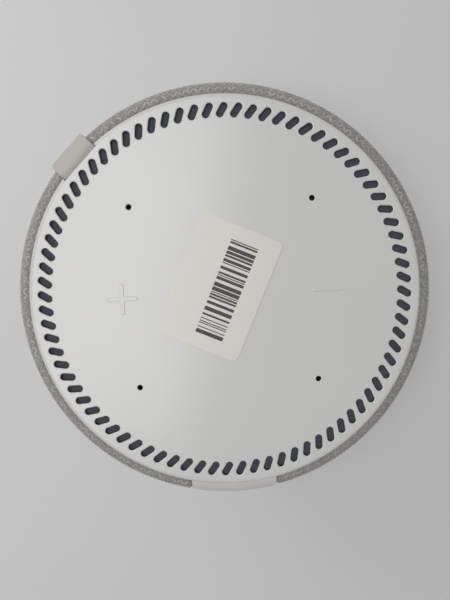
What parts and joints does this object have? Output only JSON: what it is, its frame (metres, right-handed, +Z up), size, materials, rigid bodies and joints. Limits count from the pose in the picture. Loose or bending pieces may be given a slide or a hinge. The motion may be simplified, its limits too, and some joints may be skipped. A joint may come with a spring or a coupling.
{
  "type": "smart speaker",
  "caption": "Small round smart speaker with a knitted sleeve, a slotted touch plate on top, a rear strip with a mute button and power socket, and an up-firing driver inside.",
  "frame": {"origin": "on the table, under the centre of the foot", "axes": "+Z up through the middle of the touch plate, +Y to the rear panel, +X to the plus mark"},
  "size_m": [0.09, 0.0902, 0.0541],
  "materials": {
    "plate_plastic": "fine moulded matt plastic",
    "panel_plastic": "white moulded satin plastic",
    "knit_fabric": "grey knitted polyester",
    "mesh_cloth": "dark woven acoustic cloth",
    "tag_silicone": "smooth satin silicone",
    "label_paper": "coated paper",
    "base_plastic": "grey moulded matt plastic",
    "foot_rubber": "matt black rubber",
    "shell_plastic": "dark moulded plastic",
    "box_plastic": "black moulded plastic",
    "circuit_board": "green solder mask",
    "chip_resin": "black moulded resin",
    "can_metal": "tinned sheet steel",
    "screw_steel": "zinc-plated steel",
    "magnet_steel": "plated mild steel",
    "ferrite": "bare ferrite",
    "basket_paint": "black painted pressed steel",
    "cone_paper": "coated black paper",
    "soft_rubber": "soft black rubber",
    "spider_cloth": "resin-stiffened cloth",
    "coil_wire": "enamelled copper wire",
    "foam": "closed-cell foam",
    "clear_plastic": "frosted plastic",
    "connector_plastic": "ivory nylon",
    "black_nylon": "black nylon",
    "cable_film": "white laminated film",
    "wire_jacket": "red wire jacket",
    "can_aluminium": "drawn aluminium cans"
  },
  "bodies": {
    "housing": {"top_plate": "plate_plastic", "rear_panel": "panel_plastic", "fabric_sleeve": "knit_fabric", "acoustic_mesh": "mesh_cloth", "side_tag": "tag_silicone", "paper_label": "label_paper", "base_cover": "base_plastic", "rubber_foot": "foot_rubber", "inner_shell": "shell_plastic", "speaker_box": "box_plastic", "speaker_baffle": "box_plastic", "touch_board": "circuit_board", "main_board": "circuit_board", "switch_board": "circuit_board", "processor": "chip_resin", "amplifier_chip": "chip_resin", "power_inductors": "chip_resin", "mute_switch": "chip_resin", "processor_shield": "can_metal", "radio_shield": "can_metal", "microphones": "can_metal", "antennas": "can_metal", "usb_shell": "can_metal", "base_screws": "screw_steel", "box_screws": "screw_steel", "driver_screws": "screw_steel", "touch_board_screws": "screw_steel", "main_board_screws": "screw_steel", "switch_board_screws": "screw_steel", "driver_washer": "magnet_steel", "driver_yoke": "magnet_steel", "driver_magnet": "ferrite", "driver_basket": "basket_paint", "driver_surround": "soft_rubber", "wire_grommet": "soft_rubber", "microphone_gaskets": "soft_rubber", "driver_spider": "spider_cloth", "box_seal": "foam", "driver_gasket": "foam", "touch_foam_pads": "foam", "indicator_leds": "clear_plastic", "light_diffuser": "clear_plastic", "cable_connectors": "connector_plastic", "driver_terminals": "connector_plastic", "usb_tongue": "black_nylon", "touch_cable": "cable_film", "switch_cable": "cable_film", "speaker_wires": "wire_jacket", "capacitors": "can_aluminium"},
    "button": {"mute_button": "panel_plastic", "switch_plunger": "black_nylon"},
    "cone": {"driver_cone": "cone_paper", "driver_dust_cap": "cone_paper", "voice_coil": "coil_wire"}
  },
  "joints": [
    {"name": "mute_press", "type": "slide", "parent": "housing", "child": "button", "axis": [0, -1, 0], "range_m": [0, 0.0005], "stiffness_N_per_m": 2000},
    {"name": "cone_travel", "type": "slide", "parent": "housing", "child": "cone", "axis": [0, 0, 1], "range_m": [-0.0015, 0.0015], "stiffness_N_per_m": 900, "deforming": ["driver_surround", "driver_spider"]}
  ]
}
